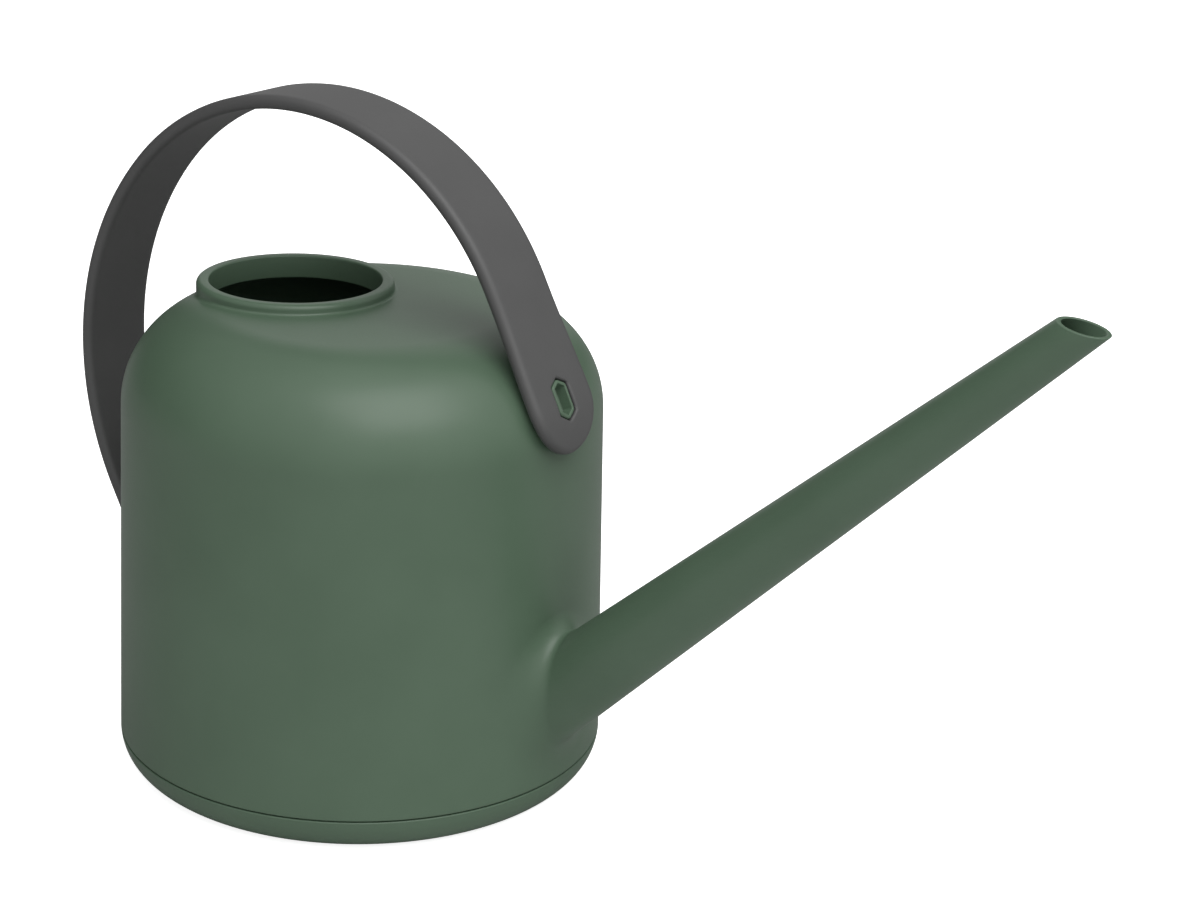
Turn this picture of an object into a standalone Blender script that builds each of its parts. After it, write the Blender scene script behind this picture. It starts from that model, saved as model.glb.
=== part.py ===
"""Indoor watering can: a moulded tank with its spout, a base cap and a soft strap handle.

Units are metres. +Z is up and +X points along the spout. The origin is on the tank's
axis, at the underside of the base cap. The can is symmetric about the XZ plane.
"""
from math import atan, cos, hypot, pi, radians, sin, tan

import bmesh
import bpy
from mathutils import Matrix, Vector

# Tank
BODY_RADIUS = 0.0700         # outside radius where the shoulder starts
WALL_DRAFT = 0.0022          # how much wider the wall is at the seam than at the shoulder
SEAM_HEIGHT = 0.0114         # height of the seam between the tank and the base cap
SHOULDER_HEIGHT = 0.1115     # height where the wall turns into the shoulder
SHOULDER_RADIUS = 0.0292     # radius of the rounded shoulder
WALL = 0.0020                # wall thickness of the tank

# Filling mouth, set back from the tank's axis
MOUTH_SETBACK = 0.0258       # distance of the mouth's axis behind the tank's axis
MOUTH_RADIUS = 0.0253        # inside radius of the neck
LIP_WIDTH = 0.0037           # width of the lip around the mouth
LIP_ABOVE_TOP = 0.0030       # height of the lip above the tank's flat top
LIP_INNER_EDGE = 0.0007      # rounding of the lip's inner edge
LIP_OUTER_EDGE = 0.0015      # rounding of the lip's outer edge
NECK_TUCK = 0.0005           # how far the neck reaches below the shoulder behind it

# Spout
SPOUT_ANGLE = radians(43.0)  # slope of the spout's axis above the horizontal
SPOUT_ROOT_CLEAR = 0.00991   # height of the spout's lower side at the wall above the seam
SPOUT_LENGTH = 0.2038        # from the wall to the middle of the opening, along the axis
SPOUT_ROOT_RADIUS = 0.01245  # outside radius at the wall
SPOUT_TIP_RADIUS = 0.0057    # outside radius at the opening
SPOUT_ROOT_WALL = 0.0018     # wall thickness at the root
SPOUT_TIP_WALL = 0.0011      # wall thickness at the opening
SPOUT_CUT_TILT = radians(9.6)  # the opening's plane dips this much towards the front
ROOT_FLARE = 0.0048          # how far the rounded root stands out from the cone
ROOT_FLARE_LENGTH = 0.0130   # how far the rounded root reaches along the spout
FLARE_POWER = 2.4            # how quickly the flare dies out along the spout
BORE_START = 1.3             # how far the bore starts inside the wall, in root radii

# Base cap
CAP_EDGE_RADIUS = 0.0112     # rounding from the cap's side to its flat underside
CAP_WALL = 0.0020            # wall thickness of the cap
SEAM_GAP = 0.0004            # shadow gap between the tank's edge and the cap
SPIGOT_HEIGHT = 0.0060       # how far the cap's spigot reaches up into the tank
SPIGOT_WALL = 0.0016         # thickness of the spigot
SPIGOT_CLEARANCE = 0.0003    # radial gap between the spigot and the tank's wall

# Strap handle
STRAP_WIDTH = 0.0254         # width along the arch
STRAP_THICKNESS = 0.0042     # thickness
STRAP_END_WIDTH = 0.0274     # width of each round end, across its peg
STRAP_END_LENGTH = 0.0153    # from a peg's middle to the strap's tip
STRAP_NECK_LENGTH = 0.0300   # length over which an end narrows to the strap's width
STRAP_EDGE_RADIUS = 0.0010   # rounding of the strap's edges
STRAP_GAP = 0.0003           # gap between the strap and the tank
FOOT_LEAVE_ANGLE = radians(27.9)   # shoulder angle where the strap leaves the tank
FOOT_STRAIGHT = 0.0339       # straight stretch above the front foot
ARCH_FRONT_RADIUS = 0.0790   # radius of the arch's front part
ARCH_FRONT_ANGLE = radians(109.4)  # how far the strap turns over that part
ARCH_REAR_RADIUS = 0.0916    # radius of the arch's rear part
ARCH_REAR_ANGLE = radians(70.8)    # how far the strap turns over that part
REAR_BEND_RADIUS = 0.0220    # radius of the bend that brings the strap back to the wall
REAR_PEG_DROP = 0.0060       # how far below that bend the rear peg sits
REAR_PEG_HEIGHT = 0.02857    # height of the rear peg: the arch is scaled to reach it

# Pegs that hold the strap: an elongated hexagon, hollow from outside
PEG_LENGTH = 0.0106          # length of the peg's shank, along the strap
PEG_WIDTH = 0.0058           # width of the peg's shank
PEG_HEAD_LIP = 0.0006        # how far the head stands out over the shank
PEG_HEAD_THICKNESS = 0.0010  # thickness of the head
PEG_HEAD_SINK = 0.0003       # how far the head sits below the strap's face
PEG_WALL = 0.0007            # wall of the peg around its recess
PEG_CLEARANCE = 0.0003       # gap between the peg and the strap's hole

# Fineness of the round surfaces
TURN_STEPS = 64
NECK_STEPS = 56
SPOUT_SIDES = 28
FLARE_RINGS = 8              # sections along the spout's rounded root
CURVE_STEP = 0.0050          # spacing of the strap's sections
END_TRIM = 0.004             # share of the round end's length that is left flat at its tip

SEAM_RADIUS = BODY_RADIUS + WALL_DRAFT
SPOUT_HEIGHT = SEAM_HEIGHT + SPOUT_ROOT_CLEAR + SPOUT_ROOT_RADIUS / cos(SPOUT_ANGLE)
LIP_OUTER_RADIUS = MOUTH_RADIUS + LIP_WIDTH
TOP_HEIGHT = SHOULDER_HEIGHT + SHOULDER_RADIUS
LIP_HEIGHT = TOP_HEIGHT + LIP_ABOVE_TOP
SHOULDER_CENTRE = BODY_RADIUS - SHOULDER_RADIUS
WALL_SLOPE = (SEAM_RADIUS - BODY_RADIUS) / (SHOULDER_HEIGHT - SEAM_HEIGHT)
PLENTY = 0.02                # how far a cutter runs past what it cuts


def clear_scene():
    for obj in list(bpy.data.objects):
        bpy.data.objects.remove(obj)


def make_collection(name, hidden=False):
    collection = bpy.data.collections.new(name)
    collection.hide_render = hidden
    bpy.context.scene.collection.children.link(collection)
    return collection


def make_material(name, colour, roughness):
    material = bpy.data.materials.new(name)
    material.use_nodes = True
    shader = material.node_tree.nodes["Principled BSDF"]
    shader.inputs["Base Color"].default_value = (*colour, 1.0)
    shader.inputs["Roughness"].default_value = roughness
    shader.inputs["Metallic"].default_value = 0.0
    return material


def add_object(name, mesh, collection, material=None):
    obj = bpy.data.objects.new(name, mesh)
    collection.objects.link(obj)
    if material:
        mesh.materials.append(material)
    return obj


def make_cutter(obj):
    """Marks a helper that only cuts or joins other pieces."""
    obj.hide_render = True
    obj.display_type = "WIRE"
    return obj


def mesh_of(name, points, edges=(), faces=()):
    mesh = bpy.data.meshes.new(name)
    mesh.from_pydata([tuple(p) for p in points], list(edges), list(faces))
    return mesh


def turned(name, profile, steps, collection, material=None):
    """A turned piece: profile holds (radius, height) points, down the outer side and back
    up the inner side. It starts and ends on the axis, or else it is a closed loop."""
    closed = profile[0][0] > 0
    count = len(profile)
    edges = [(i, (i + 1) % count) for i in range(count if closed else count - 1)]
    half_step = pi / steps
    points = [(r * cos(half_step), r * sin(half_step), z) for r, z in profile]
    mesh = mesh_of(name, points, edges)
    obj = add_object(name, mesh, collection, material)
    screw = obj.modifiers.new("turn", "SCREW")
    screw.axis = "Z"
    screw.angle = 2 * pi
    screw.steps = screw.render_steps = steps
    screw.use_merge_vertices = True
    screw.merge_threshold = 0.00001
    screw.use_smooth_shade = True
    return obj


def arc(centre, radius, start, end, count):
    """Points along an arc, from the start angle to the end angle, both included."""
    angles = [start + (end - start) * i / (count - 1) for i in range(count)]
    return [(centre[0] + radius * cos(a), centre[1] + radius * sin(a)) for a in angles]


def boolean(obj, other, operation, solver="EXACT"):
    modifier = obj.modifiers.new(f"{operation.lower()} {other.name}", "BOOLEAN")
    modifier.operation = operation
    modifier.solver = solver
    modifier.object = other
    return modifier


def loft(name, rings, collection, material=None):
    """A closed body through rings of equally many points, with an n-gon at each end."""
    sides = len(rings[0])
    points = [p for ring in rings for p in ring]
    faces = []
    for row in range(len(rings) - 1):
        for i in range(sides):
            j = (i + 1) % sides
            low, high = row * sides, (row + 1) * sides
            faces.append((low + i, low + j, high + j, high + i))
    last = (len(rings) - 1) * sides
    faces.append(tuple(reversed(range(sides))))
    faces.append(tuple(range(last, last + sides)))
    mesh = mesh_of(name, points, faces=faces)
    shell = bmesh.new()
    shell.from_mesh(mesh)
    bmesh.ops.recalc_face_normals(shell, faces=shell.faces)
    shell.to_mesh(mesh)
    shell.free()
    mesh.shade_smooth()
    mesh.set_sharp_from_angle(angle=radians(35))
    return add_object(name, mesh, collection, material)


# Tank ---------------------------------------------------------------------------------

def wall_radius(height):
    """Outside radius of the drafted wall at a height."""
    return BODY_RADIUS + (SHOULDER_HEIGHT - height) * WALL_SLOPE


def tank_outline(inset, bottom):
    """(radius, height) points down a line inset from the tank's outer face, from the axis
    at the top to the wall at the height called bottom."""
    centre = (SHOULDER_CENTRE, SHOULDER_HEIGHT)
    shoulder = arc(centre, SHOULDER_RADIUS - inset, pi / 2, 0, 11)
    return [(0, TOP_HEIGHT - inset)] + shoulder + [(wall_radius(bottom) - inset, bottom)]


def surface_height(radius):
    """Height of the tank's outer face at a distance from its axis, on the top or shoulder."""
    beyond = max(radius - SHOULDER_CENTRE, 0)
    return SHOULDER_HEIGHT + (SHOULDER_RADIUS ** 2 - beyond ** 2) ** 0.5


def neck_profile():
    """The ring of the neck with its rounded lip, as a closed loop."""
    inner, outer = MOUTH_RADIUS, LIP_OUTER_RADIUS
    neck_bottom = surface_height(MOUTH_SETBACK + outer) - NECK_TUCK
    top = arc((inner + LIP_INNER_EDGE, LIP_HEIGHT - LIP_INNER_EDGE), LIP_INNER_EDGE, pi, pi / 2, 4)
    side = arc((outer - LIP_OUTER_EDGE, LIP_HEIGHT - LIP_OUTER_EDGE), LIP_OUTER_EDGE, pi / 2, 0, 5)
    return top + side + [(outer, neck_bottom), (inner, neck_bottom)]


def spout_frame(distance):
    """A point on the spout's axis, with the axis' direction."""
    direction = Vector((cos(SPOUT_ANGLE), 0, sin(SPOUT_ANGLE)))
    start = Vector((wall_radius(SPOUT_HEIGHT), 0, SPOUT_HEIGHT))
    return start + direction * distance, direction


def spout_radius(distance):
    """Outside radius of the spout's cone at a distance from the wall along its axis."""
    taper = (SPOUT_TIP_RADIUS - SPOUT_ROOT_RADIUS) / SPOUT_LENGTH
    return SPOUT_ROOT_RADIUS + taper * distance


def spout_point(angle, distance, radius):
    """A point beside the spout's axis. Angle 0 is the spout's upper side."""
    centre, _ = spout_frame(distance)
    up = Vector((-sin(SPOUT_ANGLE), 0, cos(SPOUT_ANGLE)))
    return centre + radius * (up * cos(angle) + Vector((0, 1, 0)) * sin(angle))


def wall_distance(angle, extra):
    """Distance along the spout's axis where its side at this angle meets the wall, with
    the spout's radius made larger by the length called extra."""
    distance = 0.0
    for _ in range(12):
        point = spout_point(angle, distance, spout_radius(distance) + extra)
        distance -= (hypot(point.x, point.y) - wall_radius(point.z)) / cos(SPOUT_ANGLE)
    return distance


def make_spout(collection):
    """The spout's outside, flared where it joins the wall. It starts inside the tank."""
    shares = [-0.5] + [(i / FLARE_RINGS) ** 1.5 for i in range(FLARE_RINGS + 1)]
    angles = [2 * pi * i / SPOUT_SIDES for i in range(SPOUT_SIDES)]
    starts = [wall_distance(a, ROOT_FLARE) for a in angles]
    ends = [wall_distance(a, 0.0) + ROOT_FLARE_LENGTH for a in angles]
    rings = []
    for share in shares:
        flare = ROOT_FLARE * (1 - max(share, 0)) ** FLARE_POWER
        distances = [start + share * (end - start) for start, end in zip(starts, ends)]
        rings.append([
            spout_point(a, d, spout_radius(d) + flare) for a, d in zip(angles, distances)
        ])
    end = SPOUT_LENGTH + PLENTY
    rings.append([spout_point(a, end, spout_radius(end)) for a in angles])
    spout = make_cutter(loft("spout_outside", rings, collection))
    middle, _ = spout_frame(SPOUT_LENGTH)
    cut = add_box("spout_end_cut", 2 * PLENTY, collection)
    cut.matrix_world = (
        Matrix.Translation(middle)
        @ Matrix.Rotation(SPOUT_CUT_TILT, 4, "Y")
        @ Matrix.Translation((0, 0, PLENTY))
    )
    boolean(spout, cut, "DIFFERENCE")
    return spout


def make_spout_bore(collection):
    """The cone that hollows out the spout and opens it into the tank."""
    start = -BORE_START * SPOUT_ROOT_RADIUS * tan(SPOUT_ANGLE)
    end = SPOUT_LENGTH + PLENTY
    slope = (SPOUT_TIP_WALL - SPOUT_ROOT_WALL) / SPOUT_LENGTH
    angles = [2 * pi * (i + 0.5) / SPOUT_SIDES for i in range(SPOUT_SIDES)]
    rings = []
    for distance in (start, end):
        radius = spout_radius(distance) - (SPOUT_ROOT_WALL + slope * distance)
        rings.append([spout_point(a, distance, radius) for a in angles])
    return make_cutter(loft("spout_bore", rings, collection))


def add_box(name, size, collection):
    """A cube of this size as a helper."""
    cube = bmesh.new()
    bmesh.ops.create_cube(cube, size=size)
    mesh = bpy.data.meshes.new(name)
    cube.to_mesh(mesh)
    cube.free()
    return make_cutter(add_object(name, mesh, collection))


def peg_frame(station):
    """The peg's axes at a strap station: x across the strap, y along it, z outwards, with
    the origin on the strap's inner face."""
    point, heading = station
    along = Vector((cos(heading), 0, sin(heading)))
    outward = Vector((sin(heading), 0, -cos(heading)))
    across = along.cross(outward)
    origin = Vector((point[0], 0, point[1])) - outward * (STRAP_THICKNESS / 2)
    frame = Matrix((across, along, outward)).transposed().to_4x4()
    return Matrix.Translation(origin) @ frame


def hexagon_prism(name, length, width, low, high, frame, collection):
    """An elongated hexagon, pointed along the strap, between two heights on a peg's axis."""
    straight = length / 2 - width / 2 * tan(radians(30))
    outline = [
        (0, length / 2), (-width / 2, straight), (-width / 2, -straight),
        (0, -length / 2), (width / 2, -straight), (width / 2, straight),
    ]
    rings = [[frame @ Vector((x, y, z)) for x, y in outline] for z in (low, high)]
    obj = loft(name, rings, collection)
    obj.data.shade_flat()
    return make_cutter(obj)


def make_pegs(tank, pegs, helpers):
    """Joins the two pegs to the tank, and returns the cutters that hollow them."""
    face = STRAP_THICKNESS - PEG_HEAD_SINK
    root = -STRAP_GAP - WALL / 2
    head = (PEG_LENGTH + 2 * PEG_HEAD_LIP, PEG_WIDTH + 2 * PEG_HEAD_LIP)
    hole = (PEG_LENGTH - 2 * PEG_WALL, PEG_WIDTH - 2 * PEG_WALL)
    spans = {
        "shank": (PEG_LENGTH, PEG_WIDTH, root, face - PEG_HEAD_THICKNESS / 2),
        "head": (*head, face - PEG_HEAD_THICKNESS, face),
        "recess": (*hole, 0.0, PLENTY),
    }
    recesses = []
    for label, station in pegs.items():
        frame = peg_frame(station)
        made = {
            part: hexagon_prism(f"{label}_{part}", *span, frame, helpers)
            for part, span in spans.items()
        }
        boolean(tank, made["shank"], "UNION")
        boolean(tank, made["head"], "UNION")
        recesses.append(made["recess"])
    return recesses


def make_tank(parts, helpers, pegs, material):
    """The tank, spout, neck and pegs as the one moulding that they are."""
    outside = tank_outline(0, SEAM_HEIGHT) + [(0, SEAM_HEIGHT)]
    tank = turned("tank", outside, TURN_STEPS, parts, material)
    cavity_profile = tank_outline(WALL, SEAM_HEIGHT - PLENTY) + [(0, SEAM_HEIGHT - PLENTY)]
    cavity = make_cutter(turned("tank_inside", cavity_profile, TURN_STEPS, helpers))
    neck = make_cutter(turned("neck_ring", neck_profile(), NECK_STEPS, helpers))
    bore_radius = MOUTH_RADIUS + LIP_WIDTH / 2
    bore_top, bore_bottom = TOP_HEIGHT + PLENTY, TOP_HEIGHT - PLENTY
    bore_profile = [(0, bore_top), (bore_radius, bore_top), (bore_radius, bore_bottom), (0, bore_bottom)]
    mouth = make_cutter(turned("mouth_bore", bore_profile, NECK_STEPS, helpers))
    neck.location.x = mouth.location.x = -MOUTH_SETBACK
    boolean(tank, make_spout(helpers), "UNION")
    recesses = make_pegs(tank, pegs, helpers)
    # This solver keeps the wall closed where the hollow spout, neck and tank run together.
    boolean(tank, cavity, "DIFFERENCE", "MANIFOLD")
    boolean(tank, mouth, "DIFFERENCE", "MANIFOLD")
    boolean(tank, neck, "UNION", "MANIFOLD")
    boolean(tank, make_spout_bore(helpers), "DIFFERENCE", "MANIFOLD")
    for recess in recesses:
        boolean(tank, recess, "DIFFERENCE", "MANIFOLD")
    return tank


# Base cap -----------------------------------------------------------------------------

def make_base_cap(parts, material):
    """A shallow dish with a rounded edge, and a spigot that plugs into the tank."""
    rim = SEAM_HEIGHT - SEAM_GAP
    side = wall_radius(rim)
    spigot_top = SEAM_HEIGHT + SPIGOT_HEIGHT
    spigot_outer = wall_radius(spigot_top) - WALL - SPIGOT_CLEARANCE
    spigot_inner = spigot_outer - SPIGOT_WALL
    edge_centre = (side - CAP_EDGE_RADIUS, CAP_EDGE_RADIUS)
    outside = arc(edge_centre, CAP_EDGE_RADIUS, atan((rim - CAP_EDGE_RADIUS) / CAP_EDGE_RADIUS), -pi / 2, 9)
    inner_radius = CAP_EDGE_RADIUS - CAP_WALL
    reach = spigot_inner - edge_centre[0]
    inside_end = -pi / 2 + atan(reach / (inner_radius ** 2 - reach ** 2) ** 0.5)
    inside = arc(edge_centre, inner_radius, -pi / 2, inside_end, 6)
    profile = [(0, CAP_WALL)] + inside
    profile += [(spigot_inner, spigot_top), (spigot_outer, spigot_top), (spigot_outer, rim)]
    profile += outside + [(0, 0)]
    return turned("base_cap", profile, TURN_STEPS, parts, material)


# Strap handle -------------------------------------------------------------------------

def advance(point, heading, length, curvature):
    """Where a straight or round stretch ends: curvature is positive towards the left."""
    turn = curvature * length
    chord = length if curvature == 0 else 2 * sin(turn / 2) / curvature
    middle = heading + turn / 2
    return point + chord * Vector((cos(middle), sin(middle))), heading + turn


def scaled_path(scale):
    """The strap's centre line in the XZ plane, from its front end up over the can and down
    to its rear end: (starting point, starting heading, [(length, curvature), ...]), and the
    height of the rear peg. The arch is made larger by the scale."""
    face_offset = STRAP_GAP + STRAP_THICKNESS / 2
    foot_radius = SHOULDER_RADIUS + face_offset
    start_angle = FOOT_LEAVE_ANGLE - STRAP_END_LENGTH / foot_radius
    front_radius, rear_radius = scale * ARCH_FRONT_RADIUS, scale * ARCH_REAR_RADIUS
    start = Vector((
        SHOULDER_CENTRE + foot_radius * cos(start_angle),
        SHOULDER_HEIGHT + foot_radius * sin(start_angle),
    ))
    pieces = [
        (STRAP_END_LENGTH, 1 / foot_radius),
        (scale * FOOT_STRAIGHT, 0.0),
        (front_radius * ARCH_FRONT_ANGLE, 1 / front_radius),
        (rear_radius * ARCH_REAR_ANGLE, 1 / rear_radius),
    ]
    point, heading = start, pi / 2 + start_angle
    for length, curvature in pieces:
        point, heading = advance(point, heading, length, curvature)
    wall_heading = 3 * pi / 2 - atan(WALL_SLOPE)
    bend = (REAR_BEND_RADIUS * (heading - wall_heading), -1 / REAR_BEND_RADIUS)
    bent, _ = advance(point, heading, *bend)
    to_wall = -bent.x - wall_radius(bent.y) - face_offset
    drop = to_wall / (cos(heading) - WALL_SLOPE * sin(heading))
    peg_height = bent.y + drop * sin(heading) + REAR_PEG_DROP * sin(wall_heading)
    pieces += [(drop, 0.0), bend, (REAR_PEG_DROP + STRAP_END_LENGTH, 0.0)]
    return start, pi / 2 + start_angle, pieces, peg_height


def strap_path():
    """The centre line whose arch brings the rear peg to its height, which falls evenly as
    the arch grows."""
    growth = 0.1
    plain, grown = scaled_path(1.0)[3], scaled_path(1.0 + growth)[3]
    scale = 1.0 + growth * (REAR_PEG_HEIGHT - plain) / (grown - plain)
    return scaled_path(scale)[:3]


def strap_station(path, distance):
    """(point, heading) on the strap's centre line at a distance from its front end."""
    point, heading, pieces = path
    for length, curvature in pieces:
        step = min(length, distance)
        point, heading = advance(point, heading, step, curvature)
        distance -= step
        if distance <= 0:
            break
    return point, heading


def strap_half_width(from_end):
    """Half the strap's width at a distance from its nearest end."""
    if from_end < STRAP_END_LENGTH:
        return STRAP_END_WIDTH / 2 * (1 - (1 - from_end / STRAP_END_LENGTH) ** 2) ** 0.5
    share = min((from_end - STRAP_END_LENGTH) / STRAP_NECK_LENGTH, 1)
    spread = (STRAP_END_WIDTH - STRAP_WIDTH) / 2
    return STRAP_WIDTH / 2 + spread * (1 + cos(pi * share)) / 2


def strap_section(station, half_width):
    """A ring of points around the strap: a rectangle with rounded corners."""
    point, heading = station
    outward = Vector((sin(heading), 0, -cos(heading)))
    centre = Vector((point.x, 0, point.y))
    rounding = min(STRAP_EDGE_RADIUS, 0.9 * half_width)
    ring = []
    for corner, (side, face) in enumerate(((1, 1), (-1, 1), (-1, -1), (1, -1))):
        for i in range(3):
            angle = corner * pi / 2 + i * pi / 4
            across = side * (half_width - rounding) + rounding * cos(angle)
            depth = face * (STRAP_THICKNESS / 2 - STRAP_EDGE_RADIUS) + STRAP_EDGE_RADIUS * sin(angle)
            ring.append(centre + Vector((0, across, 0)) + outward * depth)
    return ring


def make_strap(parts, helpers, path, pegs, material):
    """The strap as one bent band with a round end and a stepped hole at each peg."""
    total = sum(length for length, _ in path[2])
    round_end = [STRAP_END_LENGTH * (1 - cos(pi / 2 * i / 8)) for i in range(9)]
    round_end[0] = STRAP_END_LENGTH * END_TRIM
    count = round((total - 2 * STRAP_END_LENGTH) / CURVE_STEP)
    step = (total - 2 * STRAP_END_LENGTH) / count
    distances = round_end + [STRAP_END_LENGTH + step * i for i in range(1, count)]
    distances += [total - d for d in reversed(round_end)]
    rings = [
        strap_section(strap_station(path, d), strap_half_width(min(d, total - d)))
        for d in distances
    ]
    strap = loft("strap_handle", rings, parts, material)
    shank = (PEG_LENGTH + 2 * PEG_CLEARANCE, PEG_WIDTH + 2 * PEG_CLEARANCE)
    head = tuple(size + 2 * PEG_HEAD_LIP for size in shank)
    step_height = STRAP_THICKNESS - PEG_HEAD_SINK - PEG_HEAD_THICKNESS - PEG_CLEARANCE
    for label, station in pegs.items():
        frame = peg_frame(station)
        hole = hexagon_prism(f"{label}_hole", *shank, -PLENTY / 4, PLENTY, frame, helpers)
        step = hexagon_prism(f"{label}_step", *head, step_height, PLENTY, frame, helpers)
        boolean(strap, hole, "DIFFERENCE")
        boolean(strap, step, "DIFFERENCE")
    return strap


def main():
    clear_scene()
    parts = make_collection("watering_can")
    helpers = make_collection("helpers", hidden=True)
    green = make_material("green_moulded_plastic", (0.096, 0.142, 0.101), 0.42)
    grey = make_material("grey_soft_plastic", (0.103, 0.100, 0.103), 0.55)
    path = strap_path()
    total = sum(length for length, _ in path[2])
    pegs = {
        "front_peg": strap_station(path, STRAP_END_LENGTH),
        "rear_peg": strap_station(path, total - STRAP_END_LENGTH),
    }
    make_tank(parts, helpers, pegs, green)
    make_base_cap(parts, green)
    make_strap(parts, helpers, path, pegs, grey)


main()
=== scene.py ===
# %% [markdown]
# # A small indoor watering can
#
# The can has three pieces: a moulded plastic tank that runs on into its long spout, a cap
# that closes the tank from below, and a strap of soft plastic that is buttoned over two
# pegs. This file draws each of them as surfaces worked out with numpy, gives them their
# plastics, and lights them in a white studio.
#
# All shapes are worked out in millimetres and turned into metres when they become a mesh.
# The origin is under the middle of the tank, +Z is up and +X points along the spout.

from math import atan, cos, pi, radians, sin, tan

import bmesh
import bpy
import numpy as np
from mathutils import Matrix


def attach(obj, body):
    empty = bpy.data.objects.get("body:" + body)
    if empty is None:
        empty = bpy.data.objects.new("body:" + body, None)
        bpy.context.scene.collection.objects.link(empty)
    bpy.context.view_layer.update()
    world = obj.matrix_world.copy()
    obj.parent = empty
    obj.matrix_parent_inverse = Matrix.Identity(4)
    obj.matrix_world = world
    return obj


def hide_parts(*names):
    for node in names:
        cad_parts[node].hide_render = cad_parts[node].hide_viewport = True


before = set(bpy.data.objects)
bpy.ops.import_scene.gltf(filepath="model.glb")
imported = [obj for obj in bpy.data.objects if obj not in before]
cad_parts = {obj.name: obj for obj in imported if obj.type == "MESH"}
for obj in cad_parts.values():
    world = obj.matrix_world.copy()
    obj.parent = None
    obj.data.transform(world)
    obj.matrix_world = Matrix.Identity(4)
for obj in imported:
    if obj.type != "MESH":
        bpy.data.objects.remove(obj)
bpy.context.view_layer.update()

# %% [markdown]
# ## Grids of points
#
# Every piece is made of grids: rows and columns of points worked out as whole arrays. A
# grid may close on itself, as round a tube. Several grids that share their edge points
# become one watertight mesh when the doubled points are merged. It could all be done with
# modifiers on a few primitives, but then the places where the spout runs into the tank
# would have to be cut and patched by hand.

# %% Helpers that turn grids into a mesh
MM = 0.001


def grid_quads(rows, columns, closed):
    """Corner numbers of a grid's quads, with the points numbered row after row. When the
    grid is closed, the last column is joined to the first."""
    row = np.arange(rows - 1)[:, None] * columns
    here = np.arange(columns if closed else columns - 1)[None, :]
    beside = (here + 1) % columns
    quads = [row + here, row + beside, row + columns + beside, row + columns + here]
    return np.stack(quads, axis=-1).reshape(-1, 4)


def make_piece(name, grids):
    """One closed mesh from a list of (points, closed): each points array is rows x columns
    x 3 in millimetres. Doubled points are merged and the faces turned outwards."""
    starts = np.cumsum([0] + [points.shape[0] * points.shape[1] for points, _ in grids])
    quads = [grid_quads(*points.shape[:2], closed) for points, closed in grids]
    faces = np.concatenate([q + start for q, start in zip(quads, starts)])
    points = np.concatenate([p.reshape(-1, 3) for p, _ in grids]) * MM
    mesh = bpy.data.meshes.new(name)
    mesh.from_pydata(points.tolist(), [], faces.tolist())
    shell = bmesh.new()
    shell.from_mesh(mesh)
    bmesh.ops.remove_doubles(shell, verts=shell.verts, dist=0.004 * MM)
    bmesh.ops.dissolve_degenerate(shell, edges=shell.edges, dist=0.0005 * MM)
    bmesh.ops.recalc_face_normals(shell, faces=shell.faces)
    if shell.calc_volume(signed=True) < 0:
        bmesh.ops.reverse_faces(shell, faces=shell.faces)
    open_edges = sum(not edge.is_manifold for edge in shell.edges)
    shell.to_mesh(mesh)
    shell.free()
    mesh.shade_smooth()
    piece = bpy.data.objects.new(name, mesh)
    bpy.context.scene.collection.objects.link(piece)
    print(name, len(mesh.polygons), "faces,", open_edges, "open edges")
    return piece


def unit(vectors):
    """The same directions with length one."""
    return vectors / np.linalg.norm(vectors, axis=-1, keepdims=True)


def dot(a, b):
    """Dot product along the last axis, kept as a column."""
    return np.sum(a * b, axis=-1, keepdims=True)


def between(first, last, shares):
    """Rows of points on straight lines from one row of points to another."""
    shares = np.asarray(shares).reshape(-1, *[1] * first.ndim)
    return first + (last - first) * shares


# %% [markdown]
# ## Rounded joints
#
# A mould has no sharp inner corners: where the spout meets the tank, and where the neck
# meets the top, the plastic runs over in a hollow round. Each such round is a ribbon of
# cubic curves. A curve leaves one surface along that surface, aims at the corner line
# where the two would meet, and arrives along the other surface, so light slides over the
# joint with no break. The handles are as long as those of a circle's arc that turns as far.

# %% The rounded ribbon between two surfaces
def towards(start, corner, normal):
    """Unit direction from a point to the corner, laid flat on the surface it starts on."""
    way = corner - start
    return unit(way - normal * dot(way, normal))


def hollow_round(first, corner, last, first_normal, last_normal, count):
    """Rows of points on cubic curves from first to last: P0, P0 + h a, P3 + h b, P3, where
    a and b aim at the corner along each surface, and h is 4/3 tan(q/4) / tan(q/2) of the
    way to the corner for a turn of q."""
    start_way = towards(first, corner, first_normal)
    end_way = towards(last, corner, last_normal)
    turn = np.arccos(np.clip(-dot(start_way, end_way), -1, 1))
    reach = 4 / 3 * np.tan(turn / 4) / np.tan(turn / 2)
    start_hand = first + start_way * reach * np.linalg.norm(corner - first, axis=-1, keepdims=True)
    end_hand = last + end_way * reach * np.linalg.norm(corner - last, axis=-1, keepdims=True)
    t = np.linspace(0, 1, count).reshape(-1, 1, 1)
    return (
        (1 - t) ** 3 * first + 3 * (1 - t) ** 2 * t * start_hand
        + 3 * (1 - t) * t ** 2 * end_hand + t ** 3 * last
    )


def edge_round(first, corner, last, count=5):
    """Rows of points on a round edge: each is an arc of a circle that touches both lines
    of a corner, written as a weighted parabola with weight cos(q/2) for a turn of q."""
    turn = np.arccos(np.clip(dot(unit(corner - first), unit(last - corner)), -1, 1))
    weight = np.cos(turn / 2)
    t = np.linspace(0, 1, count).reshape(-1, 1, 1)
    top = (1 - t) ** 2 * first + 2 * t * (1 - t) * weight * corner + t ** 2 * last
    return top / ((1 - t) ** 2 + 2 * t * (1 - t) * weight + t ** 2)


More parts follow.
